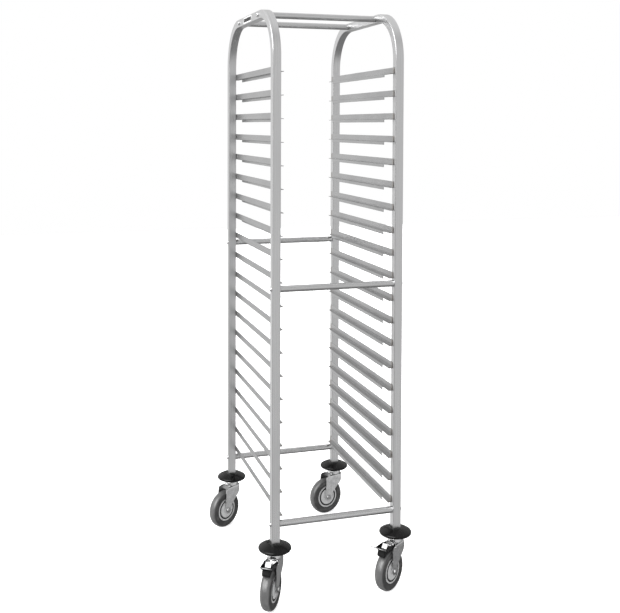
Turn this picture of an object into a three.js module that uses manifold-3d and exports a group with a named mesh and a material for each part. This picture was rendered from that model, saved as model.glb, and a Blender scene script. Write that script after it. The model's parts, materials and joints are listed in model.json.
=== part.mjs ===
// Sheet pan rack: two bent square-tube side frames carry Z-section tray runners,
// six bolted cross bars join them, and four swivel casters with bumper discs carry them.
// Millimetres. +Z is up, the open front faces -Y, and z = 0 is the floor.
import * as THREE from "three";
import { mergeVertices } from "three/addons/utils/BufferGeometryUtils.js";
import Module from "manifold-3d";

const wasm = await Module();
wasm.setup();

// ---- Driving dimensions ----
const FRAME_WIDTH = 400; // over the outer faces of the posts
const FRAME_DEPTH = 580;
const FRAME_TOP = 1720;
const POST_FOOT = 178; // height of the posts' open lower ends
const TUBE = 25; // square tube, outside
const TUBE_WALL = 1.5;
const TUBE_EDGE_RADIUS = 2.5;
const BEND_RADIUS = 150; // outside of the hoop's bends
const BEND_STEPS = 6;

const RUNNER_COUNT = 20;
const RUNNER_PITCH = 67.3;
const LOWEST_LEDGE = 252.5; // middle of the lowest ledge's sheet
const SHEET = 1.5;
const WEB_HEIGHT = 19;
const LEDGE_WIDTH = 14;
const LIP_DROP = 8;
const RUNNER_INSET = 13; // runner ends, inside the frame's front and rear faces
const LIP_SETBACK = 45; // lip ends, inside the runner's own ends
const WELD_SINK = 0.3; // how far a web sinks into the posts it is welded to

const BAR_RADIUS = 9.5;
const BAR_BORE = 8;
const BAR_PLUG = 22; // thick stretch at each end that takes the bolt
const TOP_BAR_SPREAD = 120; // of the top bars, from the middle of the depth
const MIDDLE_FRONT_BAR = 910;
const MIDDLE_REAR_BAR = 976;
const BOTTOM_BAR = 230.5;

const BOLT_RADIUS = 4;
const BOLT_HEAD_RADIUS = 7;
const BOLT_HEAD_HEIGHT = 4.5;
const GAP = 0.3; // between separate pieces that meet
const HOLE_PLAY = 0.4;

const BUMPER_RADIUS = 48;
const BUMPER_BOTTOM = 159.1; // where it rests on the stem's upper race
const CROWN_TOP = 137; // top of the fork's crown plate
const CROWN_THICKNESS = 3;
const CROWN_HALF = 22; // half the crown's length, out from the swivel axis
const FORK_SHEET = 2.5;
const FORK_INSIDE = 37.2; // between the fork's legs
const CASTER_TRAIL = 35; // wheel axle behind the swivel axis
const WHEEL_RADIUS = 61;
const WHEEL_WIDTH = 32;
const WHEEL_SIDES = 24;
const AXLE_HEIGHT = WHEEL_RADIUS * Math.cos(Math.PI / WHEEL_SIDES); // a flat of the tyre lies on the floor
const RIM_RADIUS = 37.7;
const AXLE_RADIUS = 5;
const PEDAL_PIVOT = { out: 30, up: 130 };

// The parked casters reach further to the front and the left than the bumpers do to the
// rear and the right, so the frame stands this far from the middle of the whole outline.
const FRAME_OFFSET = { x: 21, y: 24 };

// Where each caster stands, which way its wheel trails (degrees from +X) and whether it brakes.
const CASTERS = [
  { name: "front_left", side: -1, end: -1, heading: 236, brake: true },
  { name: "front_right", side: 1, end: -1, heading: 215, brake: true },
  { name: "rear_left", side: -1, end: 1, heading: 211, brake: false },
  { name: "rear_right", side: 1, end: 1, heading: 194, brake: false },
];

const POST_X = FRAME_WIDTH / 2 - TUBE / 2;
const POST_Y = FRAME_DEPTH / 2 - TUBE / 2;
const INNER_X = FRAME_WIDTH / 2 - TUBE;
const TOP_BAR = FRAME_TOP - TUBE / 2;

// ---- Materials ----
function metal(color, roughness) {
  return new THREE.MeshStandardMaterial({ color, roughness, metalness: 1 });
}

function plain(color, roughness) {
  return new THREE.MeshStandardMaterial({ color, roughness, metalness: 0 });
}

const stainless = metal(0xc9cacb, 0.32);
const polished = metal(0xd2d3d4, 0.18);
const zinc = metal(0xc4c6c8, 0.26);
const blackPlastic = plain(0x101011, 0.35);
const greyRubber = plain(0x55575a, 0.7);
const blackRubber = plain(0x141414, 0.8);
const greyPlastic = plain(0xa9abad, 0.45);
const labelDark = plain(0x2a2b2d, 0.5);

// ---- Joining and cutting ----
function solidOf(geometry) {
  const bare = geometry.clone();
  bare.deleteAttribute("normal");
  bare.deleteAttribute("uv");
  const merged = mergeVertices(bare, 1e-3);
  return new wasm.Manifold(
    new wasm.Mesh({
      numProp: 3,
      vertProperties: merged.attributes.position.array,
      triVerts: new Uint32Array(merged.index.array),
    }),
  );
}

function geometryOf(solid) {
  const mesh = solid.getMesh();
  const geometry = new THREE.BufferGeometry();
  geometry.setAttribute("position", new THREE.BufferAttribute(new Float32Array(mesh.vertProperties), 3));
  geometry.setIndex(new THREE.BufferAttribute(new Uint32Array(mesh.triVerts), 1));
  geometry.computeVertexNormals();
  return geometry;
}

function join(geometries) {
  return geometryOf(geometries.map(solidOf).reduce((sum, next) => sum.add(next)));
}

function cut(base, tools) {
  return geometryOf(tools.map(solidOf).reduce((rest, tool) => rest.subtract(tool), solidOf(base)));
}

// ---- Basic shapes ----
function extrude(points, depth, curveSegments = 5) {
  const isShape = points instanceof THREE.Shape;
  const shape = isShape ? points : new THREE.Shape(points.map(([x, y]) => new THREE.Vector2(x, y)));
  return new THREE.ExtrudeGeometry(shape, { depth, bevelEnabled: false, curveSegments });
}

// A solid turned about +Z from [radius, height] points that run upwards on the outside.
function turned(points, segments, closed = false) {
  const outline = points.map(([r, z]) => new THREE.Vector2(r, z));
  if (closed) outline.push(outline[0].clone());
  return new THREE.LatheGeometry(outline, segments).rotateX(Math.PI / 2);
}

function rod(radius, length, segments = 10) {
  return new THREE.CylinderGeometry(radius, radius, length, segments);
}

// A rod along X through a point, for drilling.
function drillX(radius, length, x, y, z) {
  return rod(radius, length).rotateZ(Math.PI / 2).translate(x, y, z);
}

function box(width, depth, height, x, y, z) {
  return new THREE.BoxGeometry(width, depth, height).translate(x, y, z);
}

function piece(name, geometry, material) {
  const mesh = new THREE.Mesh(geometry, material);
  mesh.name = name;
  return mesh;
}

// ---- Side frames ----
// The tube's centre line: up the rear post, over the top and down the front post.
// It is sampled at its stations, so the straight stretches take no extra steps.
class HoopPath extends THREE.Curve {
  constructor() {
    super();
    const radius = BEND_RADIUS - TUBE / 2;
    const bendY = POST_Y - radius;
    const bendZ = TOP_BAR - radius;
    this.stations = [{ y: POST_Y, z: POST_FOOT, angle: 0 }];
    for (const [centreY, start] of [[bendY, 0], [-bendY, Math.PI / 2]]) {
      for (let step = 0; step <= BEND_STEPS; step++) {
        const angle = start + (step / BEND_STEPS) * (Math.PI / 2);
        const y = centreY + radius * Math.cos(angle);
        this.stations.push({ y, z: bendZ + radius * Math.sin(angle), angle });
      }
    }
    this.stations.push({ y: -POST_Y, z: POST_FOOT, angle: Math.PI });
    this.steps = this.stations.length - 1;
  }

  getPoint(t) {
    const { y, z } = this.stations[Math.round(t * this.steps)];
    return new THREE.Vector3(0, y, z);
  }

  getTangent(t) {
    const { angle } = this.stations[Math.round(t * this.steps)];
    return new THREE.Vector3(0, -Math.sin(angle), Math.cos(angle));
  }

  getPointAt(u) {
    return this.getPoint(u);
  }

  getTangentAt(u) {
    return this.getTangent(u);
  }
}

function tubeSection() {
  const half = TUBE / 2;
  const flat = half - TUBE_EDGE_RADIUS;
  const section = new THREE.Shape();
  section.absarc(flat, flat, TUBE_EDGE_RADIUS, 0, Math.PI / 2);
  section.absarc(-flat, flat, TUBE_EDGE_RADIUS, Math.PI / 2, Math.PI);
  section.absarc(-flat, -flat, TUBE_EDGE_RADIUS, Math.PI, 1.5 * Math.PI);
  section.absarc(flat, -flat, TUBE_EDGE_RADIUS, 1.5 * Math.PI, 2 * Math.PI);
  const inside = half - TUBE_WALL;
  const corners = [[-inside, -inside], [-inside, inside], [inside, inside], [inside, -inside]];
  section.holes.push(new THREE.Path(corners.map(([x, y]) => new THREE.Vector2(x, y))));
  return section;
}

function hoop() {
  const path = new HoopPath();
  return new THREE.ExtrudeGeometry(tubeSection(), {
    steps: path.steps,
    extrudePath: path,
    curveSegments: 1,
  });
}

// One runner seen along Y: a web against the posts, a ledge at its foot and a lip that
// turns down from the ledge's free edge. towardsMiddle is +1 on the left frame.
function runner(ledge, towardsMiddle) {
  const wall = -towardsMiddle * INNER_X;
  const across = (inward) => wall + towardsMiddle * inward;
  const slab = (from, to, bottom, top, length) =>
    box(to - from, length, top - bottom, across((from + to) / 2), 0, (bottom + top) / 2);
  const length = FRAME_DEPTH - 2 * RUNNER_INSET;
  const under = ledge - SHEET / 2;
  return [
    slab(-WELD_SINK, SHEET, under, under + WEB_HEIGHT, length),
    slab(-WELD_SINK, LEDGE_WIDTH, under, under + SHEET, length),
    slab(LEDGE_WIDTH - SHEET, LEDGE_WIDTH, under - LIP_DROP, under + SHEET, length - 2 * LIP_SETBACK),
  ];
}

function barPlaces() {
  return [
    { name: "top_front", y: -TOP_BAR_SPREAD, z: TOP_BAR },
    { name: "top_rear", y: TOP_BAR_SPREAD, z: TOP_BAR },
    { name: "middle_front", y: -POST_Y, z: MIDDLE_FRONT_BAR },
    { name: "middle_rear", y: POST_Y, z: MIDDLE_REAR_BAR },
    { name: "bottom_front", y: -POST_Y, z: BOTTOM_BAR },
    { name: "bottom_rear", y: POST_Y, z: BOTTOM_BAR },
  ];
}

function sideFrame(name, side) {
  const welded = [hoop().translate(side * POST_X, 0, 0)];
  for (let level = 0; level < RUNNER_COUNT; level++) {
    welded.push(...runner(LOWEST_LEDGE + level * RUNNER_PITCH, -side));
  }
  const holes = barPlaces().map(({ y, z }) =>
    drillX(BOLT_RADIUS + HOLE_PLAY, TUBE + 2, side * POST_X, y, z),
  );
  return piece(name, cut(join(welded), holes), stainless);
}

// ---- Cross bars and their bolts ----
function crossBar() {
  const half = INNER_X - GAP;
  const plugStart = half - BAR_PLUG;
  const hole = BOLT_RADIUS + HOLE_PLAY;
  const profile = [
    [BAR_RADIUS, -half], [BAR_RADIUS, half], [hole, half], [hole, plugStart],
    [BAR_BORE, plugStart], [BAR_BORE, -plugStart], [hole, -plugStart], [hole, -half],
  ];
  return turned(profile, 16, true).rotateY(Math.PI / 2);
}

// A dome-head bolt along +Z: its head sits below z = 0 and its shank points up.
function domeBolt() {
  const length = TUBE + GAP + BAR_PLUG - 3;
  const profile = [
    [0, -BOLT_HEAD_HEIGHT], [BOLT_HEAD_RADIUS * 0.55, -BOLT_HEAD_HEIGHT * 0.85],
    [BOLT_HEAD_RADIUS, -BOLT_HEAD_HEIGHT * 0.25], [BOLT_HEAD_RADIUS, 0],
    [BOLT_RADIUS, 0], [BOLT_RADIUS, length], [0, length],
  ];
  return turned(profile, 10);
}

function barsAndBolts() {
  const parts = [];
  for (const { name, y, z } of barPlaces()) {
    const bar = piece("cross_bar_" + name, crossBar(), polished);
    bar.position.set(0, y, z);
    parts.push(bar);
    for (const [end, side] of [["left", -1], ["right", 1]]) {
      const bolt = piece("bolt_" + name + "_" + end, domeBolt(), zinc);
      bolt.position.set(side * (FRAME_WIDTH / 2 + GAP), y, z);
      bolt.rotation.y = (-side * Math.PI) / 2;
      parts.push(bolt);
    }
  }
  return parts;
}

// ---- Casters ----
// A caster is modelled about its swivel axis, on the floor, with its wheel trailing
// along +X, so "out" is along +X, "across" is along Y and "up" is along Z.

// The bumper is a shallow dome with a thick rim; the post stands on its flat middle.
function bumper() {
  const bore = 7;
  const top = POST_FOOT - GAP;
  const profile = [
    [bore, BUMPER_BOTTOM], [BUMPER_RADIUS - 9, BUMPER_BOTTOM], [BUMPER_RADIUS - 5, BUMPER_BOTTOM - 2],
    [BUMPER_RADIUS - 1.5, BUMPER_BOTTOM - 2], [BUMPER_RADIUS, BUMPER_BOTTOM], [BUMPER_RADIUS, 165.5],
    [BUMPER_RADIUS - 4, 169.5], [34, 174], [19, top], [bore, top],
  ];
  return turned(profile, 24, true);
}

// The stud with its lower nut, the fixed upper race and the square plug in the post's foot.
function stem() {
  const studRadius = 6;
  const nutRadius = 9;
  const nutBottom = 124.5;
  const nutTop = nutBottom + 8;
  const raceBottom = 150.2;
  const raceTop = BUMPER_BOTTOM - GAP;
  const plug = TUBE - 2 * TUBE_WALL - 0.8;
  const plugHeight = 45;
  const turning = turned([
    [0, nutBottom], [nutRadius, nutBottom], [nutRadius, nutTop], [studRadius, nutTop],
    [studRadius, raceBottom], [20, raceBottom], [23, raceBottom + 3], [23, raceTop],
    [studRadius, raceTop], [studRadius, POST_FOOT + 1], [0, POST_FOOT + 1],
  ], 14);
  return join([turning, box(plug, plug, plugHeight, 0, 0, POST_FOOT + plugHeight / 2)]);
}

// One leg of the fork in the out-up plane: wide at the crown, round at the axle.
function forkLegShape(hasPin) {
  const leg = new THREE.Shape();
  const eye = 12;
  leg.moveTo(-18, CROWN_TOP);
  leg.lineTo(-18, 113);
  leg.lineTo(-9, 102);
  leg.lineTo(14, 80);
  leg.absarc(CASTER_TRAIL, AXLE_HEIGHT, eye, Math.PI * 0.87, Math.PI * 2.04);
  leg.lineTo(44, CROWN_TOP - 20);
  leg.lineTo(42, CROWN_TOP);
  leg.closePath();
  const holes = [[CASTER_TRAIL, AXLE_HEIGHT, AXLE_RADIUS + HOLE_PLAY]];
  if (hasPin) holes.push([PEDAL_PIVOT.out, PEDAL_PIVOT.up, 2.9]);
  for (const [out, up, radius] of holes) {
    const hole = new THREE.Path();
    hole.absarc(out, up, radius, 0, 2 * Math.PI, true);
    leg.holes.push(hole);
  }
  return leg;
}

// Stands a shape drawn in the out-up plane on its place across the caster.
function standing(shape, thickness, across) {
  return extrude(shape, thickness).rotateX(Math.PI / 2).translate(0, across + thickness / 2, 0);
}

function fork(hasPin) {
  const legAcross = FORK_INSIDE / 2 + FORK_SHEET / 2;
  const width = FORK_INSIDE + 2 * FORK_SHEET;
  const crownMiddle = CROWN_TOP - CROWN_THICKNESS / 2;
  const lowerRace = turned([
    [8, CROWN_TOP - 1], [CROWN_HALF, CROWN_TOP - 1], [CROWN_HALF, 143], [18.5, 149.6], [8, 149.6],
  ], 16, true);
  const solid = join([
    standing(forkLegShape(hasPin), FORK_SHEET, legAcross),
    standing(forkLegShape(hasPin), FORK_SHEET, -legAcross),
    box(2 * CROWN_HALF, width - 1, CROWN_THICKNESS, 0, 0, crownMiddle),
    lowerRace,
  ]);
  return cut(solid, [rod(6.6, 40).rotateX(Math.PI / 2).translate(0, 0, crownMiddle)]);
}

// Turned about its own axle and then laid along Y at the axle's place.
function onAxle(geometry) {
  return geometry.rotateX(Math.PI / 2).translate(CASTER_TRAIL, 0, AXLE_HEIGHT);
}

function mirrored(half) {
  return [...half, ...half.map(([r, z]) => [r, -z]).reverse()];
}

function wheelCentre() {
  const half = [
    [5.5, -17.8], [11, -17.8], [12, -16], [28, -14.5], [28, -9], [32, -9], [32, -13.5], [RIM_RADIUS, -13.5],
  ];
  return onAxle(turned(mirrored(half), 16, true));
}

function tyre() {
  const side = WHEEL_WIDTH / 2;
  const seat = (RIM_RADIUS + GAP) / Math.cos(Math.PI / WHEEL_SIDES);
  const half = [
    [seat, 2 - side], [44, -side], [WHEEL_RADIUS - 6, -side],
    [WHEEL_RADIUS - 1.5, 3 - side], [WHEEL_RADIUS, 7 - side],
  ];
  // Half a side's turn puts a flat of the tread at the bottom.
  return onAxle(turned(mirrored(half), WHEEL_SIDES, true).rotateZ(Math.PI / WHEEL_SIDES));
}

function axle() {
  const legOutside = FORK_INSIDE / 2 + FORK_SHEET + GAP;
  const half = [[0, -legOutside - 5.5], [8, -legOutside - 5.5], [8, -legOutside], [AXLE_RADIUS, -legOutside]];
  return onAxle(turned(mirrored(half), 10));
}

// The brake lever: two cheeks on the pivot pin, a floor between them that carries the
// shoe, an upright tab to release it and the pedal plate that rises towards its tip.
function brakePedal() {
  const cheek = [
    [25, 126], [40, 127], [56, 129.4], [74, 130.5], [80, 135], [80, 139], [68, 140], [46, 140.5], [26, 136.5],
  ];
  const cheekSheet = 2;
  const cheekAcross = 16.2;
  const between = 2 * cheekAcross;
  const tabLean = THREE.MathUtils.degToRad(52);
  const tab = box(15, 17, 2, 0, 0, 0).rotateY(tabLean).translate(58, 0, 138);
  const plate = extrude([[72, 131], [99, 146.2], [106, 149.2], [106, 151.2], [98, 148.6], [72, 133.6]], 42)
    .rotateX(Math.PI / 2)
    .translate(0, 21, 0);
  const lever = join([
    standing(cheek, cheekSheet, cheekAcross),
    standing(cheek, cheekSheet, -cheekAcross),
    box(36, between, 2, 58, 0, 131.2),
    tab,
    plate,
  ]);
  const pinHole = rod(2.9, 60).translate(PEDAL_PIVOT.out, 0, PEDAL_PIVOT.up);
  return cut(lever, [pinHole]);
}

function brakeShoe() {
  return standing([[58, 124], [78, 112], [81, 118], [77, 129.9], [58, 129.9]], 24, 0);
}

function pedalPin() {
  const legOutside = FORK_INSIDE / 2 + FORK_SHEET + GAP;
  const half = [[0, -legOutside - 2], [4.5, -legOutside - 2], [4.5, -legOutside], [2.5, -legOutside]];
  return turned(mirrored(half), 8).rotateX(Math.PI / 2).translate(PEDAL_PIVOT.out, 0, PEDAL_PIVOT.up);
}

function caster({ name, side, end, heading, brake }) {
  const turning = new THREE.Group();
  turning.rotation.z = THREE.MathUtils.degToRad(heading);
  turning.add(
    piece("caster_fork_" + name, fork(brake), zinc),
    piece("wheel_centre_" + name, wheelCentre(), greyPlastic),
    piece("tyre_" + name, tyre(), greyRubber),
    piece("wheel_axle_" + name, axle(), zinc),
  );
  if (brake) {
    turning.add(
      piece("brake_pedal_" + name, brakePedal(), zinc),
      piece("brake_shoe_" + name, brakeShoe(), blackRubber),
      piece("brake_pin_" + name, pedalPin(), zinc),
    );
  }
  const whole = new THREE.Group();
  whole.position.set(side * POST_X, end * POST_Y, 0);
  whole.add(
    piece("bumper_" + name, bumper(), blackPlastic),
    piece("caster_stem_" + name, stem(), zinc),
    turning,
  );
  return whole;
}

// A plain label plate on the left frame's top tube.
function labelPlate() {
  const thickness = 0.6;
  const x = -FRAME_WIDTH / 2 - GAP - thickness / 2;
  return piece("label_plate", box(thickness, 98, 18, x, 6, TOP_BAR), labelDark);
}

const rack = new THREE.Group();
rack.position.set(FRAME_OFFSET.x, FRAME_OFFSET.y, 0);
rack.add(
  sideFrame("side_frame_left", -1),
  sideFrame("side_frame_right", 1),
  ...barsAndBolts(),
  labelPlate(),
  ...CASTERS.map(caster),
);

const model = new THREE.Group();
model.add(rack);

export default model;
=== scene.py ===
"""Looks of the sheet pan rack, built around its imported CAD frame.

Lengths are millimetres in the code and become metres in the mesh helpers. Shapes are made
about the middle of the rack, or about a caster's own swivel axis, and then put in place.
"""
import json
import math

import bmesh
import bpy
from mathutils import Matrix, Vector


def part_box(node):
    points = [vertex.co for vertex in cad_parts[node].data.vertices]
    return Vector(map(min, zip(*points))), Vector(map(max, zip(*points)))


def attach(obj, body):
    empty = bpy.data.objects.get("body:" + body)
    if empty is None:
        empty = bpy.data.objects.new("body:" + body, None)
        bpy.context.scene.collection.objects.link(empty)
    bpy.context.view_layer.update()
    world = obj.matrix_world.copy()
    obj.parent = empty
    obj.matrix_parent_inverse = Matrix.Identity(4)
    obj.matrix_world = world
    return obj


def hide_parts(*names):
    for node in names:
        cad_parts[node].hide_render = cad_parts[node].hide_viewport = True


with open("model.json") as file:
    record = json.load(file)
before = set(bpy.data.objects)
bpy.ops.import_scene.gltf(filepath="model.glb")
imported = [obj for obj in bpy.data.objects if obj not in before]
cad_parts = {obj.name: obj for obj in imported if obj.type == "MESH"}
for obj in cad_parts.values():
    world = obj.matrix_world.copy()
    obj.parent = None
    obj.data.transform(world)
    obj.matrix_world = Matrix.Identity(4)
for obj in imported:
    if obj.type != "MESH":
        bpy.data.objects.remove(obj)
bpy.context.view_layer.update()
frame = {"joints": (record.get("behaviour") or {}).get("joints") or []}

MM = 0.001

# ---- Sizes, in millimetres ----
TUBE = 25.0
TUBE_WALL = 1.5
TUBE_CORNER = 2.5
BEND_RADIUS = 137.5  # of the tube's centre line
BEND_STEPS = 28
RUNNER_COUNT = 20
RUNNER_PITCH = 67.3
LOWEST_LEDGE = 252.5
SHEET = 1.5
WEB_HEIGHT = 19.0
LEDGE_WIDTH = 14.0
LIP_DROP = 8.0
SHEET_BEND = 1.6
RUNNER_REACH = 277.0  # half a runner's length
LIP_REACH = 232.0  # half the length of its lip
BAR_RADIUS = 9.5
BAR_GAP = 0.3
HEAD_RADIUS = 7.0
BEAD_RADIUS = 1.25
BEAD_RIPPLES = 7
FORK_SHEET = 2.5
FORK_INSIDE = 37.2
FORK_OUTSIDE = FORK_INSIDE / 2 + FORK_SHEET + 0.3  # half its width, with a fitting gap
CROWN_TOP = 137.0
EYE_RADIUS = 12.0
CROWN_HALF = 22.0
RIM_RADIUS = 37.7
CHEEK_FROM_MIDDLE = 16.2
BRAKE_PIVOT = Vector((30, 0, 130))
TAB_MIDDLE = Vector((58, 0, 138))
TAB_LEAN = 52.0  # degrees

# ---- Places, read from the frame ----
left_low, left_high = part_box("side_frame_left")
right_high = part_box("side_frame_right")[1]
RACK = Vector(((left_low.x + right_high.x) / 2, (left_low.y + left_high.y) / 2, 0))
POST_X = (right_high.x - RACK.x) / MM - TUBE / 2
POST_Y = (right_high.y - RACK.y) / MM - TUBE / 2
INNER_X = POST_X - TUBE / 2
POST_FOOT = left_low.z / MM
TOP_LINE = left_high.z / MM - TUBE / 2


# ---- Mesh helpers ----
def finish_mesh(name, verts, faces, material, uvs=None):
    """A mesh object from millimetre points, with an optional UV map that follows the metal's grain."""
    mesh = bpy.data.meshes.new(name)
    mesh.from_pydata([Vector(v) * MM for v in verts], [], faces)
    if uvs:
        grain = mesh.uv_layers.new(name="grain")
        corners = [uv for face in uvs for uv in face]
        for corner, uv in zip(grain.data, corners):
            corner.uv = (uv[0] * MM, uv[1] * MM)
    mesh.materials.append(material)
    mesh.shade_smooth()
    piece = bpy.data.objects.new(name, mesh)
    bpy.context.scene.collection.objects.link(piece)
    return piece


def thicken(piece, thickness, offset=0.0):
    """Gives a sheet its thickness. An offset of -1 grows it inwards, 0 both ways."""
    solid = piece.modifiers.new("thickness", "SOLIDIFY")
    solid.thickness = thickness * MM
    solid.offset = offset
    solid.use_even_offset = True
    solid.use_quality_normals = True


def soften(piece, width, segments=2, angle=35):
    """Rounds the sharp edges a little and keeps the flat faces flat."""
    bevel = piece.modifiers.new("edges", "BEVEL")
    bevel.width = width * MM
    bevel.segments = segments
    bevel.limit_method = "ANGLE"
    bevel.angle_limit = math.radians(angle)
    flat = piece.modifiers.new("flats", "WEIGHTED_NORMAL")
    flat.weight = 100


def distances(points, closed):
    """How far along a line of points each one lies, with one more entry when it closes."""
    line = list(points) + ([points[0]] if closed else [])
    total = [0.0]
    for first, second in zip(line, line[1:]):
        total.append(total[-1] + (Vector(second) - Vector(first)).length)
    return total


def sweep(section, stations, closed=True, keep=None):
    """Points, faces and UVs of a section carried along stations of (origin, a axis, b axis).

    keep(i, j) may leave out the face between section points i, i+1 and stations j, j+1."""
    count = len(section)
    verts = [o + a * axis_a + b * axis_b for o, axis_a, axis_b in stations for a, b in section]
    around = distances(section, closed)
    along = distances([station[0] for station in stations], False)
    faces = []
    uvs = []
    for j in range(len(stations) - 1):
        for i in range(count if closed else count - 1):
            if keep and not keep(i, j):
                continue
            k = (i + 1) % count
            faces.append((j * count + i, j * count + k, (j + 1) * count + k, (j + 1) * count + i))
            low, high = along[j], along[j + 1]
            here, there = around[i], around[i + 1]
            uvs.append([(here, low), (there, low), (there, high), (here, high)])
    return verts, faces, uvs


def turned(profile, segments=48, sides=None):
    """A shape turned about +Z from (radius, height) points. Radius 0 closes it on the axis.

    sides maps a profile index to a number of flats, for hexagon heads and sockets."""
    verts = []
    rings = []
    for index, (radius, height) in enumerate(profile):
        if radius == 0:
            rings.append([len(verts)] * segments)
            verts.append(Vector((0, 0, height)))
            continue
        rings.append(list(range(len(verts), len(verts) + segments)))
        flats = (sides or {}).get(index)
        for step in range(segments):
            angle = 2 * math.pi * step / segments
            reach = radius
            if flats:
                wedge = math.pi / flats
                reach = radius * math.cos(wedge) / math.cos(angle % (2 * wedge) - wedge)
            verts.append(Vector((reach * math.cos(angle), reach * math.sin(angle), height)))
    faces = []
    for lower, upper in zip(rings, rings[1:]):
        for step in range(segments):
            following = (step + 1) % segments
            corners = [lower[step], lower[following], upper[following], upper[step]]
            face = list(dict.fromkeys(corners))
            if len(face) > 2:
                faces.append(face)
    return verts, faces


def closed_profile(profile):
    """The profile of a ring, ending where it starts."""
    return profile + [profile[0]]


def turned_piece(name, profile, material, segments=48, sides=None):
    """A turned shape as a piece, with its seams joined and its flat faces kept flat."""
    verts, faces = turned(profile, segments, sides)
    piece = finish_mesh(name, verts, faces, material)
    weld = piece.modifiers.new("seam", "WELD")
    weld.merge_threshold = 0.00001
    flat = piece.modifiers.new("flats", "WEIGHTED_NORMAL")
    flat.weight = 60
    return piece


def rounded(outline, radius, steps=4):
    """A closed outline of (x, y) points with its corners rounded."""
    result = []
    for index, corner in enumerate(outline):
        here = Vector(corner)
        before = Vector(outline[index - 1]) - here
        after = Vector(outline[(index + 1) % len(outline)]) - here
        reach = min(radius, before.length * 0.45, after.length * 0.45)
        start = here + before.normalized() * reach
        end = here + after.normalized() * reach
        for step in range(steps + 1):
            t = step / steps
            result.append(start * (1 - t) ** 2 + here * 2 * t * (1 - t) + end * t ** 2)
    return result


def plate(name, outline, thickness, material, edge=0.4):
    """A flat plate: its outline lies in X and Z, and its thickness is shared about Y = 0."""
    half = thickness / 2
    count = len(outline)
    verts = [Vector((x, side, z)) for side in (-half, half) for x, z in outline]
    faces = [tuple(range(count)), tuple(range(2 * count - 1, count - 1, -1))]
    for i in range(count):
        k = (i + 1) % count
        faces.append((i, i + count, k + count, k))
    piece = finish_mesh(name, verts, faces, material)
    recalculate(piece)
    soften(piece, edge)
    return piece


def recalculate(piece):
    """Turns every face outwards."""
    shape = bmesh.new()
    shape.from_mesh(piece.data)
    bmesh.ops.recalc_face_normals(shape, faces=shape.faces)
    shape.to_mesh(piece.data)
    shape.free()


def put(piece, matrix, body, slot, *nodes):
    """Places a piece, joins it to a body, and hides the CAD nodes it stands for. The slot is not used."""
    piece.matrix_world = matrix
    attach(piece, body)
    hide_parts(*nodes)


def at(x, y, z):
    """A place in the rack's own millimetres."""
    return Matrix.Translation(RACK + Vector((x, y, z)) * MM)


# ---- Material helpers ----
def new_material(name, base, metallic, roughness):
    """A material with its node tree and its shader, set to plain values to start from."""
    material = bpy.data.materials.new(name)
    material.use_nodes = True
    shader = material.node_tree.nodes["Principled BSDF"]
    shader.inputs["Base Color"].default_value = (*base, 1)
    shader.inputs["Metallic"].default_value = metallic
    shader.inputs["Roughness"].default_value = roughness
    return material, material.node_tree, shader


def grain_coords(tree):
    """Across and along the grain of the metal, in metres."""
    node = tree.nodes.new("ShaderNodeUVMap")
    node.uv_map = "grain"
    return node.outputs["UV"]


def object_coords(tree):
    """Places in the piece's own frame, in metres."""
    return tree.nodes.new("ShaderNodeTexCoord").outputs["Object"]


def noise(tree, coords, stretch, detail=3.0):
    """Noise stretched along the axes, different on each object."""
    mapping = tree.nodes.new("ShaderNodeMapping")
    mapping.inputs["Scale"].default_value = stretch
    tree.links.new(coords, mapping.inputs["Vector"])
    info = tree.nodes.new("ShaderNodeObjectInfo")
    spread = tree.nodes.new("ShaderNodeMath")
    spread.operation = "MULTIPLY"
    spread.inputs[1].default_value = 40
    tree.links.new(info.outputs["Random"], spread.inputs[0])
    texture = tree.nodes.new("ShaderNodeTexNoise")
    texture.noise_dimensions = "4D"
    texture.inputs["Scale"].default_value = 1
    texture.inputs["Detail"].default_value = detail
    tree.links.new(mapping.outputs["Vector"], texture.inputs["Vector"])
    tree.links.new(spread.outputs[0], texture.inputs["W"])
    return texture.outputs["Fac"]


def remap(tree, value, from_low, from_high, to_low, to_high, smooth=False):
    """Carries a value from one range to another, clamped at both ends."""
    node = tree.nodes.new("ShaderNodeMapRange")
    if smooth:
        node.interpolation_type = "SMOOTHSTEP"
    for socket, number in zip(node.inputs[1:5], (from_low, from_high, to_low, to_high)):
        socket.default_value = number
    tree.links.new(value, node.inputs[0])
    return node.outputs[0]


def combine(tree, operation, first, second):
    """Math on a socket and a socket or number."""
    node = tree.nodes.new("ShaderNodeMath")
    node.operation = operation
    tree.links.new(first, node.inputs[0])
    if isinstance(second, (int, float)):
        node.inputs[1].default_value = second
    else:
        tree.links.new(second, node.inputs[1])
    return node.outputs[0]


def blend_colours(tree, factor, first, second):
    """Mixes two colours, each a tuple or a socket, by a factor socket."""
    node = tree.nodes.new("ShaderNodeMix")
    node.data_type = "RGBA"
    tree.links.new(factor, node.inputs["Factor"])
    for socket, colour in ((node.inputs[6], first), (node.inputs[7], second)):
        if isinstance(colour, tuple):
            socket.default_value = (*colour, 1)
        else:
            tree.links.new(colour, socket)
    return node.outputs[2]


def raise_surface(tree, shader, height, strength, depth):
    """Bump from a height socket; depth is in millimetres."""
    node = tree.nodes.new("ShaderNodeBump")
    node.inputs["Strength"].default_value = strength
    node.inputs["Distance"].default_value = depth * MM
    tree.links.new(height, node.inputs["Height"])
    tree.links.new(node.outputs["Normal"], shader.inputs["Normal"])


def grey(level):
    """A grey with a trace of blue."""
    return (level, level * 1.002, level * 1.006)


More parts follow.
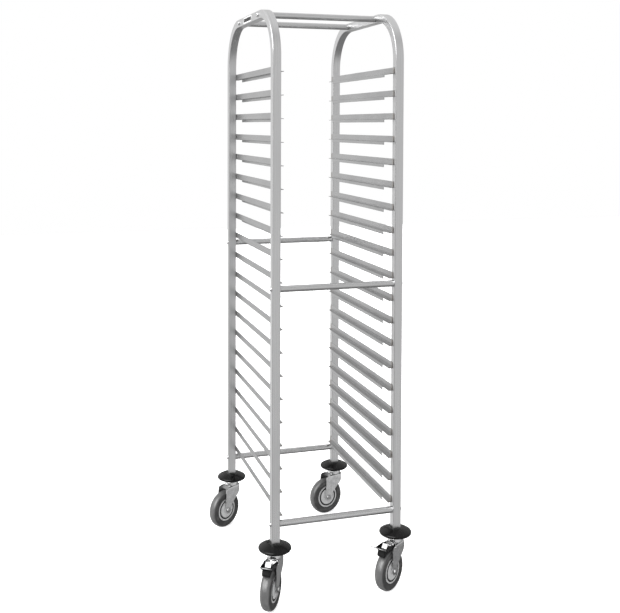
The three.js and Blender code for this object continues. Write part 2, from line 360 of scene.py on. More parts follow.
def distance_from_axis(tree, coords):
    """Distance from the local Z axis."""
    flat = tree.nodes.new("ShaderNodeVectorMath")
    flat.operation = "MULTIPLY"
    flat.inputs[1].default_value = (1, 1, 0)
    tree.links.new(coords, flat.inputs[0])
    length = tree.nodes.new("ShaderNodeVectorMath")
    length.operation = "LENGTH"
    tree.links.new(flat.outputs[0], length.inputs[0])
    return length.outputs["Value"]


# ---- Materials ----
def brushed_metal(name, level, roughness, fine=1400, long=2.5, end_tint_reach=None, relief=0.35):
    """Stainless steel brushed along the grain map, with faint smears and handling marks."""
    material, tree, shader = new_material(name, grey(level), 1, roughness)
    coords = grain_coords(tree)
    strokes = noise(tree, coords, (fine, long, 1), 4)
    scratches = noise(tree, coords, (fine * 0.45, long * 4, 1), 1)
    smears = noise(tree, object_coords(tree), (9, 9, 5), 2)
    shade = blend_colours(
        tree, remap(tree, strokes, 0.25, 0.75, 0, 1), grey(level * 0.86), grey(level * 1.07)
    )
    worn = remap(tree, scratches, 0.66, 0.72, 0, 0.35)
    shade = blend_colours(tree, worn, shade, grey(min(1, level * 1.22)))
    soiled = remap(tree, smears, 0.35, 0.75, 0, 0.22, True)
    shade = blend_colours(tree, soiled, shade, grey(level * 0.8))
    if end_tint_reach:
        shade = end_tint(tree, shade, end_tint_reach)
    tree.links.new(shade, shader.inputs["Base Color"])
    rough = remap(tree, strokes, 0.2, 0.8, roughness - 0.07, roughness + 0.09)
    smeared = remap(tree, smears, 0.35, 0.7, 0, 0.08)
    tree.links.new(combine(tree, "ADD", rough, smeared), shader.inputs["Roughness"])
    raise_surface(tree, shader, strokes, relief, 0.02)
    return material


def end_tint(tree, shade, reach):
    """Straw and then dark blue-grey colours over the last ten millimetres at both ends of a runner, darkest
    at the very end.
    """
    split = tree.nodes.new("ShaderNodeSeparateXYZ")
    tree.links.new(object_coords(tree), split.inputs[0])
    end = combine(tree, "ABSOLUTE", split.outputs["Y"], 0)
    straw = remap(tree, end, (reach - 10) * MM, (reach - 4) * MM, 0, 0.5, True)
    blue = remap(tree, end, (reach - 4) * MM, (reach - 1) * MM, 0, 0.75, True)
    shade = blend_colours(tree, straw, shade, (0.42, 0.37, 0.30))
    return blend_colours(tree, blue, shade, (0.13, 0.13, 0.15))


def weld_metal():
    """Mottled bead of weld, partly blued."""
    material, tree, shader = new_material("weld_metal", grey(0.3), 1, 0.45)
    mottling = noise(tree, object_coords(tree), (900, 900, 900), 3)
    shade = blend_colours(
        tree, remap(tree, mottling, 0.3, 0.7, 0, 1), (0.10, 0.10, 0.12), (0.38, 0.35, 0.31)
    )
    tree.links.new(shade, shader.inputs["Base Color"])
    tree.links.new(remap(tree, mottling, 0.3, 0.7, 0.3, 0.55), shader.inputs["Roughness"])
    raise_surface(tree, shader, mottling, 0.5, 0.1)
    return material


def zinc_plate(name, level, roughness):
    """Zinc plating with a faint cloudy bloom and small dull spots."""
    material, tree, shader = new_material(name, grey(level), 1, roughness)
    coords = object_coords(tree)
    bloom = noise(tree, coords, (70, 70, 70), 4)
    pits = noise(tree, coords, (700, 700, 700), 2)
    shade = blend_colours(
        tree, remap(tree, bloom, 0.3, 0.7, 0, 1, True), grey(level * 0.9), grey(level * 1.08)
    )
    shade = blend_colours(tree, remap(tree, pits, 0.66, 0.74, 0, 0.25), shade, grey(level * 0.6))
    tree.links.new(shade, shader.inputs["Base Color"])
    rough = remap(tree, bloom, 0.3, 0.7, roughness - 0.05, roughness + 0.05)
    tree.links.new(rough, shader.inputs["Roughness"])
    raise_surface(tree, shader, pits, 0.12, 0.03)
    return material


def black_plastic():
    """Moulded black plastic, polished by knocks and lightly scuffed."""
    material, tree, shader = new_material("black_plastic", grey(0.004), 0, 0.22)
    shader.inputs["Specular IOR Level"].default_value = 0.25
    coords = object_coords(tree)
    moulding = noise(tree, coords, (1300, 1300, 1300), 2)
    scuffs = noise(tree, coords, (160, 30, 60), 5)
    shade = blend_colours(tree, remap(tree, scuffs, 0.58, 0.78, 0, 1, True), grey(0.002), grey(0.012))
    tree.links.new(shade, shader.inputs["Base Color"])
    tree.links.new(remap(tree, scuffs, 0.4, 0.7, 0.16, 0.34), shader.inputs["Roughness"])
    raise_surface(tree, shader, moulding, 0.2, 0.06)
    return material


def tyre_rubber():
    """Grey rubber: smooth walls painted dark as painted shade, and a tread painted paler as painted
    highlight.
    """
    material, tree, shader = new_material("tyre_rubber", grey(0.07), 0, 0.5)
    shader.inputs["Specular IOR Level"].default_value = 0.85
    coords = object_coords(tree)
    reach = distance_from_axis(tree, coords)
    fine = noise(tree, coords, (1500, 1500, 1500), 2)
    dust = noise(tree, coords, (60, 60, 200), 4)
    tread = remap(tree, reach, 54.5 * MM, 58.5 * MM, 0, 1, True)
    # Painted highlight and painted shade: the tread is painted paler than the near-black walls.
    shade = blend_colours(tree, tread, grey(0.010), grey(0.066))
    dusty = remap(tree, dust, 0.45, 0.75, 0, 0.22, True)
    shade = blend_colours(tree, dusty, shade, (0.17, 0.165, 0.16))
    tree.links.new(shade, shader.inputs["Base Color"])
    rough = remap(tree, dust, 0.35, 0.7, 0.5, 0.64)
    polish = combine(tree, "MULTIPLY", tread, 0.22)
    tree.links.new(combine(tree, "SUBTRACT", rough, polish), shader.inputs["Roughness"])
    raise_surface(tree, shader, fine, 0.35, 0.08)
    return material


def grey_plastic():
    """Light grey moulded wheel centre, with painted shade darkening its groove."""
    material, tree, shader = new_material("grey_plastic", grey(0.4), 0, 0.42)
    coords = object_coords(tree)
    reach = distance_from_axis(tree, coords)
    fine = noise(tree, coords, (1100, 1100, 1100), 2)
    cloud = noise(tree, coords, (90, 90, 90), 4)
    shade = blend_colours(tree, remap(tree, cloud, 0.3, 0.7, 0, 1), grey(0.27), grey(0.34))
    # Painted shade: the recessed groove is painted near black.
    inner = remap(tree, reach, 26.6 * MM, 27.4 * MM, 0, 1, True)
    outer = remap(tree, reach, 32.2 * MM, 33.0 * MM, 1, 0, True)
    groove = combine(tree, "MULTIPLY", inner, outer)
    shade = blend_colours(tree, combine(tree, "MULTIPLY", groove, 0.96), shade, grey(0.01))
    tree.links.new(shade, shader.inputs["Base Color"])
    tree.links.new(remap(tree, cloud, 0.3, 0.7, 0.34, 0.5), shader.inputs["Roughness"])
    raise_surface(tree, shader, fine, 0.2, 0.05)
    return material


def black_rubber():
    """Matt black rubber of the brake shoes, worn in patches."""
    material, tree, shader = new_material("black_rubber", grey(0.006), 0, 0.65)
    shader.inputs["Specular IOR Level"].default_value = 0.25
    coords = object_coords(tree)
    fine = noise(tree, coords, (900, 900, 900), 3)
    wear = noise(tree, coords, (120, 120, 120), 3)
    shade = blend_colours(tree, remap(tree, wear, 0.5, 0.7, 0, 1), grey(0.003), grey(0.014))
    tree.links.new(shade, shader.inputs["Base Color"])
    tree.links.new(remap(tree, wear, 0.3, 0.7, 0.5, 0.8), shader.inputs["Roughness"])
    raise_surface(tree, shader, fine, 0.5, 0.1)
    return material


def blackened_steel():
    """Black lacquer on pressed steel, rubbed thin in places."""
    material, tree, shader = new_material("blackened_steel", grey(0.012), 0, 0.4)
    shader.inputs["Specular IOR Level"].default_value = 0.3
    coords = object_coords(tree)
    lacquer = noise(tree, coords, (1000, 1000, 1000), 2)
    rubbed = noise(tree, coords, (140, 140, 140), 4)
    shade = blend_colours(tree, remap(tree, rubbed, 0.55, 0.75, 0, 1, True), grey(0.004), grey(0.03))
    tree.links.new(shade, shader.inputs["Base Color"])
    tree.links.new(remap(tree, rubbed, 0.35, 0.7, 0.3, 0.5), shader.inputs["Roughness"])
    raise_surface(tree, shader, lacquer, 0.3, 0.05)
    return material


def label_face(name, level):
    """A plain printed-film face with nothing on it."""
    material, tree, shader = new_material(name, grey(level), 0, 0.4)
    shader.inputs["Specular IOR Level"].default_value = 0.2
    coords = object_coords(tree)
    film = noise(tree, coords, (500, 500, 500), 3)
    rubbed = noise(tree, coords, (40, 40, 90), 4)
    shade = blend_colours(
        tree, remap(tree, rubbed, 0.4, 0.75, 0, 1), grey(level * 0.8), grey(min(1, level * 1.3 + 0.01))
    )
    tree.links.new(shade, shader.inputs["Base Color"])
    tree.links.new(remap(tree, rubbed, 0.3, 0.7, 0.32, 0.5), shader.inputs["Roughness"])
    raise_surface(tree, shader, film, 0.15, 0.03)
    return material


hoop_steel = brushed_metal("hoop_steel", 0.66, 0.27)
runner_steel = brushed_metal("runner_steel", 0.45, 0.26, end_tint_reach=RUNNER_REACH)
bar_steel = brushed_metal("bar_steel", 0.64, 0.22, relief=0.1)
weld_steel = weld_metal()
zinc = zinc_plate("zinc_plate", 0.72, 0.2)
dull_zinc = zinc_plate("dull_zinc", 0.42, 0.42)
bumper_plastic = black_plastic()
rubber = tyre_rubber()
wheel_plastic = grey_plastic()
shoe_rubber = black_rubber()
black_steel = blackened_steel()
label_dark = label_face("label_dark", 0.004)
label_pale = label_face("label_pale", 0.72)


# ---- Side frames ----
def tube_section():
    """The outside of the square tube, with rounded corners."""
    half = TUBE / 2
    square = [(half, half), (-half, half), (-half, -half), (half, -half)]
    return [tuple(point) for point in rounded(square, TUBE_CORNER, 4)]


def hoop_stations():
    """Up the front post, over the top and down the rear post."""
    across = Vector((1, 0, 0))
    bend_y = POST_Y - BEND_RADIUS
    bend_z = TOP_LINE - BEND_RADIUS
    stations = [(Vector((0, -POST_Y, POST_FOOT)), across, Vector((0, -1, 0)))]
    for centre_y, start in ((-bend_y, math.pi), (bend_y, math.pi / 2)):
        for step in range(BEND_STEPS + 1):
            angle = start - math.pi / 2 * step / BEND_STEPS
            outwards = Vector((0, math.cos(angle), math.sin(angle)))
            middle = Vector((0, centre_y, bend_z)) + outwards * BEND_RADIUS
            stations.append((middle, across, outwards))
    stations.append((Vector((0, POST_Y, POST_FOOT)), across, Vector((0, 1, 0))))
    return stations


def tube_hoop(name):
    """The bent square tube of one side, hollow and open at its feet."""
    verts, faces, uvs = sweep(tube_section(), hoop_stations())
    piece = finish_mesh(name, verts, faces, hoop_steel, uvs)
    recalculate_open(piece)
    thicken(piece, TUBE_WALL, -1)
    flat = piece.modifiers.new("flats", "WEIGHTED_NORMAL")
    flat.weight = 100
    return piece


def recalculate_open(piece):
    """Flips an open tube's faces if the first one looks towards the tube's middle."""
    face = piece.data.polygons[0]
    ring = [v.co for v in piece.data.vertices[:20]]
    middle = sum(ring, Vector()) / len(ring)
    if face.normal.dot(face.center - middle) < 0:
        piece.data.flip_normals()


def arc(centre, radius, start, end, steps=4):
    """Points of a circular arc; the angles are in degrees."""
    angles = [math.radians(start + (end - start) * i / steps) for i in range(steps + 1)]
    return [(centre[0] + radius * math.cos(a), centre[1] + radius * math.sin(a)) for a in angles]


def runner_section():
    """The middle of the sheet: down the web, along the ledge and down the lip.

    Gives (inward, up) points and how many of them the ledge's plain ends have."""
    near = SHEET / 2
    far = LEDGE_WIDTH - SHEET / 2
    web = [(near, WEB_HEIGHT - SHEET / 2), (near, SHEET_BEND)]
    foot = arc((near + SHEET_BEND, SHEET_BEND), SHEET_BEND, 180, 270)[1:]
    ledge = [(far - SHEET_BEND, 0)]
    turn = arc((far - SHEET_BEND, -SHEET_BEND), SHEET_BEND, 90, 0)[1:]
    lip = [(far, -LIP_DROP - SHEET / 2)]
    plain = len(web) + len(foot) + len(ledge)
    return web + foot + ledge + turn + lip, plain


def tray_runner(name, towards_middle):
    """One Z-section runner; towards_middle is +1 on the left frame."""
    section, plain = runner_section()
    inward = Vector((towards_middle, 0, 0))
    up = Vector((0, 0, 1))
    reaches = (-RUNNER_REACH, -LIP_REACH, LIP_REACH, RUNNER_REACH)
    stations = [(Vector((0, y, 0)), inward, up) for y in reaches]

    def keep(i, j):
        """The lip is left out at both ends, where only web and ledge reach the posts."""
        return j == 1 or i < plain - 1

    verts, faces, uvs = sweep(section, stations, closed=False, keep=keep)
    used = sorted({index for face in faces for index in face})
    renumbered = {index: place for place, index in enumerate(used)}
    verts = [verts[index] for index in used]
    faces = [tuple(renumbered[index] for index in face) for face in faces]
    piece = finish_mesh(name, verts, faces, runner_steel, uvs)
    thicken(piece, SHEET)
    soften(piece, 0.25, 1, 50)
    return piece


def weld_bead(x, y, bottom, height):
    """A rippled bead standing along Z: points and faces about its own place."""
    rings = 14
    sides = 8
    verts = [Vector((x, y, bottom))]
    for ring in range(1, rings):
        t = ring / rings
        swell = math.sqrt(1 - (2 * t - 1) ** 6)
        radius = BEAD_RADIUS * swell * (1 + 0.13 * math.cos(2 * math.pi * BEAD_RIPPLES * t))
        for side in range(sides):
            angle = 2 * math.pi * side / sides
            offset = Vector((math.cos(angle), math.sin(angle), 0)) * radius
            verts.append(Vector((x, y, bottom + height * t)) + offset)
    verts.append(Vector((x, y, bottom + height)))
    last = len(verts) - 1
    faces = []
    for side in range(sides):
        k = (side + 1) % sides
        faces.append((0, 1 + k, 1 + side))
        for ring in range(rings - 2):
            low = 1 + ring * sides
            faces.append((low + side, low + k, low + sides + k, low + sides + side))
        low = 1 + (rings - 2) * sides
        faces.append((low + side, low + k, last))
    return verts, faces


def weld_beads(name, side):
    """All the beads of one side frame, at both ends of every runner."""
    verts = []
    faces = []
    for level in range(RUNNER_COUNT):
        bottom = LOWEST_LEDGE + level * RUNNER_PITCH
        for end in (-1, 1):
            x = side * (INNER_X - 0.5)
            points, quads = weld_bead(x, end * (RUNNER_REACH + 0.5), bottom, WEB_HEIGHT - SHEET)
            faces += [tuple(index + len(verts) for index in quad) for quad in quads]
            verts += points
    return finish_mesh(name, verts, faces, weld_steel)


def build_side_frames():
    """Both hoops with their weld beads and runners."""
    for side_name, side in (("left", -1), ("right", 1)):
        node = "side_frame_" + side_name
        hoop = tube_hoop("tube_hoop_" + side_name)
        put(hoop, at(side * POST_X, 0, 0), "frame", "brushed_stainless", node)
        beads = weld_beads("weld_beads_" + side_name, side)
        put(beads, at(0, 0, 0), "frame", "brushed_stainless", node)
        for level in range(RUNNER_COUNT):
            runner = tray_runner(f"tray_runner_{side_name}_{level + 1:02d}", -side)
            place = at(side * INNER_X, 0, LOWEST_LEDGE + level * RUNNER_PITCH)
            put(runner, place, "frame", "brushed_stainless", node)


# ---- Cross bars, bolts and label ----
def round_bar(name, length):
    """An open round tube along X. Close rings at its ends keep the shading even along it."""
    sides = 40
    angles = [2 * math.pi * step / sides for step in range(sides)]
    section = [(BAR_RADIUS * math.cos(a), BAR_RADIUS * math.sin(a)) for a in angles]
    y_axis = Vector((0, 1, 0))
    z_axis = Vector((0, 0, 1))
    end = length / 2
    reaches = (-end, -end + 0.5, -end + 1, 0, end - 1, end - 0.5, end)
    stations = [(Vector((x, 0, 0)), y_axis, z_axis) for x in reaches]
    verts, faces, uvs = sweep(section, stations)
    piece = finish_mesh(name, verts, faces, bar_steel, uvs)
    thicken(piece, TUBE_WALL, -1)
    return piece


def dome_bolt(name):
    """A flanged dome head with a hexagon socket, standing on +Z, and a short shank below."""
    socket = 2.6
    profile = [(0, 2.3), (socket, 2.3), (socket, 4.2), (socket + 0.5, 4.45)]
    for step in range(1, 7):
        angle = math.radians(90 - 15 * step)
        profile.append((socket + 0.5 + 2.7 * math.cos(angle), 1.1 + 3.3 * math.sin(angle)))
    profile += [(HEAD_RADIUS - 0.3, 1.0), (HEAD_RADIUS, 0.7), (HEAD_RADIUS, 0), (4, 0), (4, -6), (0, -6)]
    return turned_piece(name, profile[::-1], zinc, 36, {len(profile) - 2: 6, len(profile) - 3: 6})


def build_bars():
    """The six cross bars, each with a bolt at either end."""
    for height in ("top", "middle", "bottom"):
        for end in ("front", "rear"):
            node = f"cross_bar_{height}_{end}"
            low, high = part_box(node)
            bar = round_bar(f"round_bar_{height}_{end}", (high.x - low.x) / MM)
            put(bar, Matrix.Translation((low + high) / 2), "frame", "polished_tube", node)
            for side_name, side in (("left", -1), ("right", 1)):
                bolt_node = f"bolt_{height}_{end}_{side_name}"
                bolt = dome_bolt(f"dome_bolt_{height}_{end}_{side_name}")
                low_corner, high_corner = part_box(bolt_node)
                centre = (low_corner + high_corner) / 2
                face = RACK.x + side * (POST_X + TUBE / 2 + BAR_GAP) * MM
                turn = Matrix.Rotation(side * math.pi / 2, 4, "Y")
                place = Matrix.Translation((face, centre.y, centre.z)) @ turn
                put(bolt, place, "frame", "bright_zinc", bolt_node)


def build_label():
    """A blank plate: a pale border and a dark field, both thin and with nothing on them."""
    low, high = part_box("label_plate")
    centre = (low + high) / 2
    length = (high.y - low.y) / MM
    height = (high.z - low.z) / MM
    face_towards_left = Matrix.Rotation(math.pi / 2, 4, "Z")
    for name, inset, thickness, outwards, material in (
        ("label_border", 0, 0.3, -0.15, label_pale),
        ("label_field", 3.4, 0.3, 0.1, label_dark),
    ):
        x = length / 2 - inset
        z = height / 2 - inset
        outline = rounded([(x, z), (-x, z), (-x, -z), (x, -z)], 1.5)
        piece = plate(name, outline, thickness, material, 0.05)
        shift = Matrix.Translation(centre + Vector((-outwards, 0, 0)) * MM)
        put(piece, shift @ face_towards_left, "frame", "label_plain", "label_plate")


# ---- Casters ----
def caster_place(name):
    """The caster's own frame: swivel axis at the origin on the floor, wheel trailing along +X."""
    joints = {joint["name"]: joint for joint in frame["joints"]}
    pivot = Vector(joints["swivel_" + name]["pos_m"])
    hub = Vector(joints["roll_" + name]["pos_m"])
    heading = math.atan2(hub.y - pivot.y, hub.x - pivot.x)
    place = Matrix.Translation((pivot.x, pivot.y, 0)) @ Matrix.Rotation(heading, 4, "Z")
    trail = (Vector((hub.x, hub.y, 0)) - Vector((pivot.x, pivot.y, 0))).length / MM
    return place, trail, hub.z / MM


def bumper_disc(name, bottom, top, radius):
    """A shallow dome with a thick round rim and a flat middle under the post."""
    rim = 5
    profile = [(7, bottom + 2), (radius - 9, bottom + 2), (radius - 7, bottom + 0.5)]
    for angle in range(-90, 61, 15):
        a = math.radians(angle)
        profile.append((radius - rim + rim * math.cos(a), bottom + rim + rim * math.sin(a)))
    start = Vector(profile[-1])
    corner = Vector((26, top))
    flat = Vector((19, top))
    for step in range(1, 9):
        t = step / 8
        profile.append(tuple(start * (1 - t) ** 2 + corner * 2 * t * (1 - t) + flat * t ** 2))
    profile.append((7, top))
    return turned_piece(name, closed_profile(profile), bumper_plastic, 72)


def swivel_stem(name, post_foot):
    """The stud, its hexagon nut and the fixed upper race."""
    race = [
        (6, 150.2), (19.5, 150.2), (21.5, 150.9), (22.7, 152.4),
        (23, 154), (23, 158), (22.2, 158.7), (6, 158.7),
    ]
    nut = [(0, 124.5), (8.2, 124.5), (9, 125.2), (9, 131.8), (8.2, 132.5), (6, 132.5)]
    rest = [(6, post_foot + 1), (0, post_foot + 1)]
    return turned_piece(name, nut + race + rest, zinc, 48, {2: 6, 3: 6})


def lower_race(name):
    """The domed race that turns on the crown."""
    profile = [(8, CROWN_TOP), (22, CROWN_TOP), (22.4, 138.2)]
    for step in range(7):
        angle = math.radians(step * 15)
        profile.append((18 + 4 * math.cos(angle), 143 + 6.6 * math.sin(angle)))
    profile.append((8, 149.6))
    return turned_piece(name, closed_profile(profile), zinc, 56)


def fork_rows(trail, axle):
    """Rows of the pressed fork, from one leg's foot to the middle of the crown.

    Each row is (across, up, lowest out, highest out) on the middle of the sheet."""
    leg = FORK_INSIDE / 2 + FORK_SHEET / 2
    crown = CROWN_TOP - FORK_SHEET / 2
    bend = 4.75
    rows = []
    for angle in (-80, -65, -50, -35, -20, -8):
        reach = EYE_RADIUS * math.cos(math.radians(angle))
        rows.append((leg, axle + EYE_RADIUS * math.sin(math.radians(angle)), trail - reach, trail + reach))
    edges = [(2, 23.4, 46.9), (5, 22.4, 46.6), (12, 18.6, 46.3), (19.5, 13.2, 45.9), (30.5, 3.2, 45.3),
             (38, -4, 44.9), (45, -11.2, 44.5), (50, -15.2, 44.3), (56, -17.6, 44), (62, -18, 43.4)]
    rows += [(leg, axle + up, low, high) for up, low, high in edges]
    shoulder = ((0, -18, 42), (22, -18, 37), (45, -18.6, 28), (68, -20.4, 23), (90, -CROWN_HALF, CROWN_HALF))
    for angle, low, high in shoulder:
        a = math.radians(angle)
        rows.append((leg - bend * (1 - math.cos(a)), crown - bend + bend * math.sin(a), low, high))
    rows.append((7, crown, -CROWN_HALF, CROWN_HALF))
    return rows


def swivel_fork(name, trail, axle):
    """The pressed fork: one sheet bent over the crown and down both legs."""
    half = fork_rows(trail, axle)
    rows = half + [(-across, up, low, high) for across, up, low, high in reversed(half)]
    columns = 9
    verts = []
    for across, up, low, high in rows:
        for column in range(columns):
            verts.append(Vector((low + (high - low) * column / (columns - 1), across, up)))
    faces = []
    for row in range(len(rows) - 1):
        for column in range(columns - 1):
            first = row * columns + column
            faces.append((first, first + 1, first + columns + 1, first + columns))
    piece = finish_mesh(name, verts, faces, zinc)
    thicken(piece, FORK_SHEET)
    soften(piece, 0.5, 2, 50)
    return piece


def mirrored(half):
    """A closed profile from its lower half."""
    return half + [(radius, -height) for radius, height in reversed(half)]


def wheel_hub(name):
    """Moulded centre: hub, domed cap, deep groove and rim."""
    half = [
        (5.5, -17.6), (10.2, -17.8), (11, -17.2), (11.6, -16.2), (13.5, -15.9), (20, -15.6), (25.4, -14.8),
        (26.8, -14), (27.3, -12.6), (27.6, -9), (32, -9), (32.3, -12.6), (32.9, -13.4),
        (36.4, -13.5), (37.4, -13.1), (RIM_RADIUS, -12.3),
    ]
    return turned_piece(name, closed_profile(mirrored(half)), wheel_plastic, 72)


def rubber_tyre(name, radius):
    """Solid tyre: flat walls with a raised ring and a tread that rolls over into round shoulders."""
    seat = RIM_RADIUS + 0.3
    shoulder = 12
    half = [
        (seat, -13.2), (39.6, -14.5), (42, -15.4), (44, -15.7), (44.8, -16.2), (46.4, -16.2), (47.2, -15.8),
    ]
    for angle in range(-80, -9, 10):
        a = math.radians(angle)
        half.append((radius - 0.2 - shoulder + shoulder * math.cos(a), shoulder * math.sin(a) - 4))
    half.append((radius - 0.05, -2.6))
    return turned_piece(name, closed_profile(mirrored(half)), rubber, 96)


def axle_bolt(name):
    """A hexagon head on a washer at one end, a nut and thread end at the other."""
    outside = FORK_OUTSIDE
    head = [(0, -outside - 5.3), (6.6, -outside - 5.3), (7.6, -outside - 4.7), (7.6, -outside - 1.3)]
    washer = [(8.2, -outside - 1.3), (8.6, -outside - 1), (8.6, -outside), (5, -outside)]
    shank = [(5, outside), (8.6, outside), (8.6, outside + 1), (8.2, outside + 1.3)]
    nut = [(7.6, outside + 1.3), (7.6, outside + 4), (6.6, outside + 4.5), (4, outside + 4.5)]
    thread_end = [(4, outside + 5), (3.4, outside + 5.5), (0, outside + 5.5)]
    flats = {2: 6, 3: 6, 12: 6, 13: 6}
    return turned_piece(name, head + washer + shank + nut + thread_end, dull_zinc, 48, flats)


def pedal_blade(name):
    """The foot plate: it rises outwards, widens from its neck and flattens at its tip."""
    rows = []
    for step in range(13):
        t = step / 12
        out = 71 + 35 * t
        half = 15 + 6 * min(1, max(0, (t - 0.1) / 0.35)) ** 0.7
        if t > 0.85:
            half -= 5 * (1 - math.sqrt(max(0, 1 - ((t - 0.85) / 0.15) ** 2)))
        up = 132.3 + 19.2 * t - 1.2 * t ** 4
        rows.append((out, half, up))
    columns = 9
    verts = []
    for out, half, up in rows:
        for column in range(columns):
            across = half * (2 * column / (columns - 1) - 1)
            verts.append(Vector((out, across, up - 0.8 * (across / 21) ** 2)))
    faces = []
    for row in range(len(rows) - 1):
        for column in range(columns - 1):
            first = row * columns + column
            faces.append((first, first + columns, first + columns + 1, first + 1))
    piece = finish_mesh(name, verts, faces, dull_zinc)
    thicken(piece, 2)
    soften(piece, 0.6, 2, 50)
    return piece


# Outlines of the brake's cheeks and shoe, as (out, up) points in the caster's own frame.
CHEEK = [
    (25, 126), (40, 127), (56, 129.4), (74, 130.5), (80, 135),
    (80, 139), (68, 140), (46, 140.5), (26, 136.5),
]
SHOE = [(58, 124), (78, 112), (81, 118), (77, 129.9), (58, 129.9)]


def build_brake(name, place):
    """The black pedal body with its foot plate, release tab and shoe, and the pin it turns on."""
    body = "brake_" + name
    pedal = "brake_pedal_" + name
    for side_name, side in (("near", 1), ("far", -1)):
        cheek = plate(f"pedal_cheek_{side_name}_{name}", rounded(CHEEK, 2.5), 2, black_steel)
        aside = Matrix.Translation((0, side * CHEEK_FROM_MIDDLE * MM, 0))
        put(cheek, place @ aside, body, "bumper_black", pedal)
    floor_outline = rounded([(40, 130.2), (76, 130.2), (76, 132.2), (40, 132.2)], 0.6)
    put(plate("pedal_floor_" + name, floor_outline, 31, black_steel), place, body, "bumper_black", pedal)
    put(pedal_blade("pedal_blade_" + name), place, body, "bright_zinc", pedal)
    lean = Matrix.Rotation(math.radians(TAB_LEAN), 4, "Y")
    tab_outline = rounded([(-7.5, -1), (7.5, -1), (7.5, 1), (-7.5, 1)], 0.6)
    tab = plate("release_tab_" + name, tab_outline, 17, dull_zinc)
    put(tab, place @ Matrix.Translation(TAB_MIDDLE * MM) @ lean, body, "bright_zinc", pedal)
    shoe = plate("brake_block_" + name, rounded(SHOE, 1.6), 24, shoe_rubber, 0.8)
    put(shoe, place, body, "shoe_rubber", "brake_shoe_" + name)
    outside = FORK_OUTSIDE
    half = [(0, -outside - 2), (3.4, -outside - 1.9), (4.4, -outside - 1.1), (4.5, -outside), (2.5, -outside)]
    pin = turned_piece("pivot_pin_" + name, mirrored(half), zinc, 32)
    lying = Matrix.Translation(BRAKE_PIVOT * MM) @ Matrix.Rotation(math.pi / 2, 4, "X")
    put(pin, place @ lying, "swivel_" + name, "bright_zinc", "brake_pin_" + name)


def build_caster(name, braked):
    """One caster with the bumper disc above it."""
    place, trail, axle = caster_place(name)
    upright = Matrix.Translation(place.translation)
    low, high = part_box("bumper_" + name)
    radius = (high.x - low.x) / 2 / MM
    disc = bumper_disc("bumper_disc_" + name, low.z / MM, high.z / MM, radius)
    put(disc, upright, "frame", "bumper_black", "bumper_" + name)
    stem = swivel_stem("swivel_stem_" + name, POST_FOOT)
    put(stem, upright, "frame", "bright_zinc", "caster_stem_" + name)
    body = "swivel_" + name
    fork = "caster_fork_" + name
    put(lower_race("lower_race_" + name), place, body, "bright_zinc", fork)
    put(swivel_fork("swivel_fork_" + name, trail, axle), place, body, "bright_zinc", fork)
    hub = Matrix.Translation(Vector((trail, 0, axle)) * MM)
    wheel_place = place @ hub @ Matrix.Rotation(math.pi / 2, 4, "X")
    wheel = "wheel_" + name
    put(axle_bolt("axle_bolt_" + name), wheel_place, body, "bright_zinc", "wheel_axle_" + name)
    put(wheel_hub("wheel_hub_" + name), wheel_place, wheel, "wheel_grey", "wheel_centre_" + name)
    put(rubber_tyre("rubber_tyre_" + name, axle), wheel_place, wheel, "tyre_rubber", "tyre_" + name)
    if braked:
        build_brake(name, place)


# ---- Stage: camera, floor and light ----
def add_camera():
    """A view from the front left at chest height, with the lens shifted down to take in the wheels."""
    data = bpy.data.cameras.new("camera")
    data.sensor_fit = "HORIZONTAL"
    data.sensor_width = 36
    data.lens = 52.82
    data.shift_x = 0.0365
    data.shift_y = -0.2424
    camera = bpy.data.objects.new("camera", data)
    bpy.context.scene.collection.objects.link(camera)
    turn = Matrix.Rotation(math.radians(-16.46), 4, "Z")
    tilt = Matrix.Rotation(math.radians(90 - 1.92), 4, "X")
    roll = Matrix.Rotation(math.radians(0.16), 4, "Z")
    camera.matrix_world = Matrix.Translation((-0.8664, -2.7391, 1.3767)) @ turn @ tilt @ roll
    bpy.context.scene.camera = camera


def add_floor():
    """A plain pale floor, lit a little by itself and left out of reflections."""
    material, tree, shader = new_material("floor_paper", grey(0.92), 0, 0.7)
    paper = noise(tree, object_coords(tree), (3, 3, 3), 4)
    shade = blend_colours(tree, remap(tree, paper, 0.3, 0.7, 0, 1), grey(0.90), grey(0.93))
    tree.links.new(shade, shader.inputs["Base Color"])
    shader.inputs["Emission Color"].default_value = (1, 1, 1, 1)
    shader.inputs["Emission Strength"].default_value = 0.55
    half = 9000
    corners = [(-half, -half, 0), (half, -half, 0), (half, half, 0), (-half, half, 0)]
    floor = finish_mesh("floor", corners, [(0, 1, 2, 3)], material)
    floor.visible_glossy = False


def lobe(tree, direction, axis, narrow, wide, gain):
    """Light from round an axis: full inside the narrow cosine, none outside the wide one."""
    node = tree.nodes.new("ShaderNodeVectorMath")
    node.operation = "DOT_PRODUCT"
    node.inputs[1].default_value = Vector(axis).normalized()
    tree.links.new(direction, node.inputs[0])
    return remap(tree, node.outputs["Value"], wide, narrow, 0, gain, True)


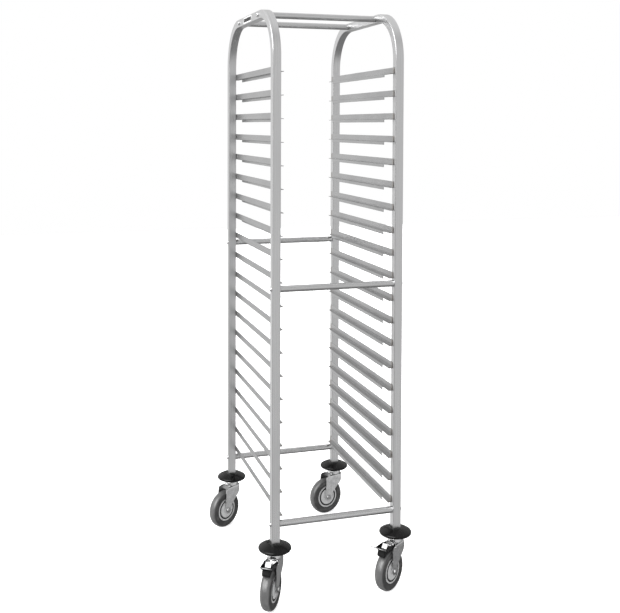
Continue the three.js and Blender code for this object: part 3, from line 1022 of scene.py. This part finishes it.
def add_world():
    """A studio of soft patches of light on a dim room. The camera itself sees plain white.

    There are walls in front, to the left, to the right and far behind, a ceiling, and a
    softbox high on the left."""
    world = bpy.data.worlds.new("studio")
    bpy.context.scene.world = world
    world.use_nodes = True
    tree = world.node_tree
    background = tree.nodes["Background"]
    direction = tree.nodes.new("ShaderNodeTexCoord").outputs["Generated"]
    front = lobe(tree, direction, (0.3, -1, 0.12), 0.93, 0.5, 0.46)
    left = lobe(tree, direction, (-0.8, 0.62, 0.05), 0.86, 0.5, 0.7)
    ceiling = lobe(tree, direction, (0.25, 0.35, 0.9), 0.9, 0.45, 0.58)
    right = lobe(tree, direction, (0.95, -0.3, 0), 0.98, 0.85, 0.35)
    softbox = lobe(tree, direction, (-0.66, -0.36, 0.66), 0.96, 0.82, 6)
    far_wall = lobe(tree, direction, (0.28, 0.95, -0.115), 0.996, 0.988, 0.5)
    level = combine(tree, "ADD", softbox, 0.26)
    for part in (front, left, ceiling, right, far_wall):
        level = combine(tree, "ADD", level, part)
    path = tree.nodes.new("ShaderNodeLightPath")
    strength = combine(tree, "MAXIMUM", level, path.outputs["Is Camera Ray"])
    tree.links.new(strength, background.inputs["Strength"])
    background.inputs["Color"].default_value = (1, 1, 1, 1)


def add_light(name, place, target, size, power):
    """A soft rectangular lamp that the metal doesn't mirror."""
    data = bpy.data.lights.new(name, "AREA")
    data.shape = "RECTANGLE"
    data.size, data.size_y = size
    data.energy = power
    light = bpy.data.objects.new(name, data)
    bpy.context.scene.collection.objects.link(light)
    aim = (Vector(target) - Vector(place)).to_track_quat("-Z", "Y")
    light.matrix_world = Matrix.Translation(place) @ aim.to_matrix().to_4x4()
    light.visible_glossy = False


add_camera()
add_world()
add_floor()
add_light("key", (-1.6, -2.6, 2.6), (0, 0, 0.7), (1.4, 1.4), 30)
add_light("fill", (2.6, -1.4, 1.6), (0, 0, 0.8), (1.0, 2.0), 14)
bpy.context.scene.view_settings.view_transform = "Standard"

build_side_frames()
build_bars()
build_label()
for end, braked in (("front", True), ("rear", False)):
    for side in ("left", "right"):
        build_caster(f"{end}_{side}", braked)
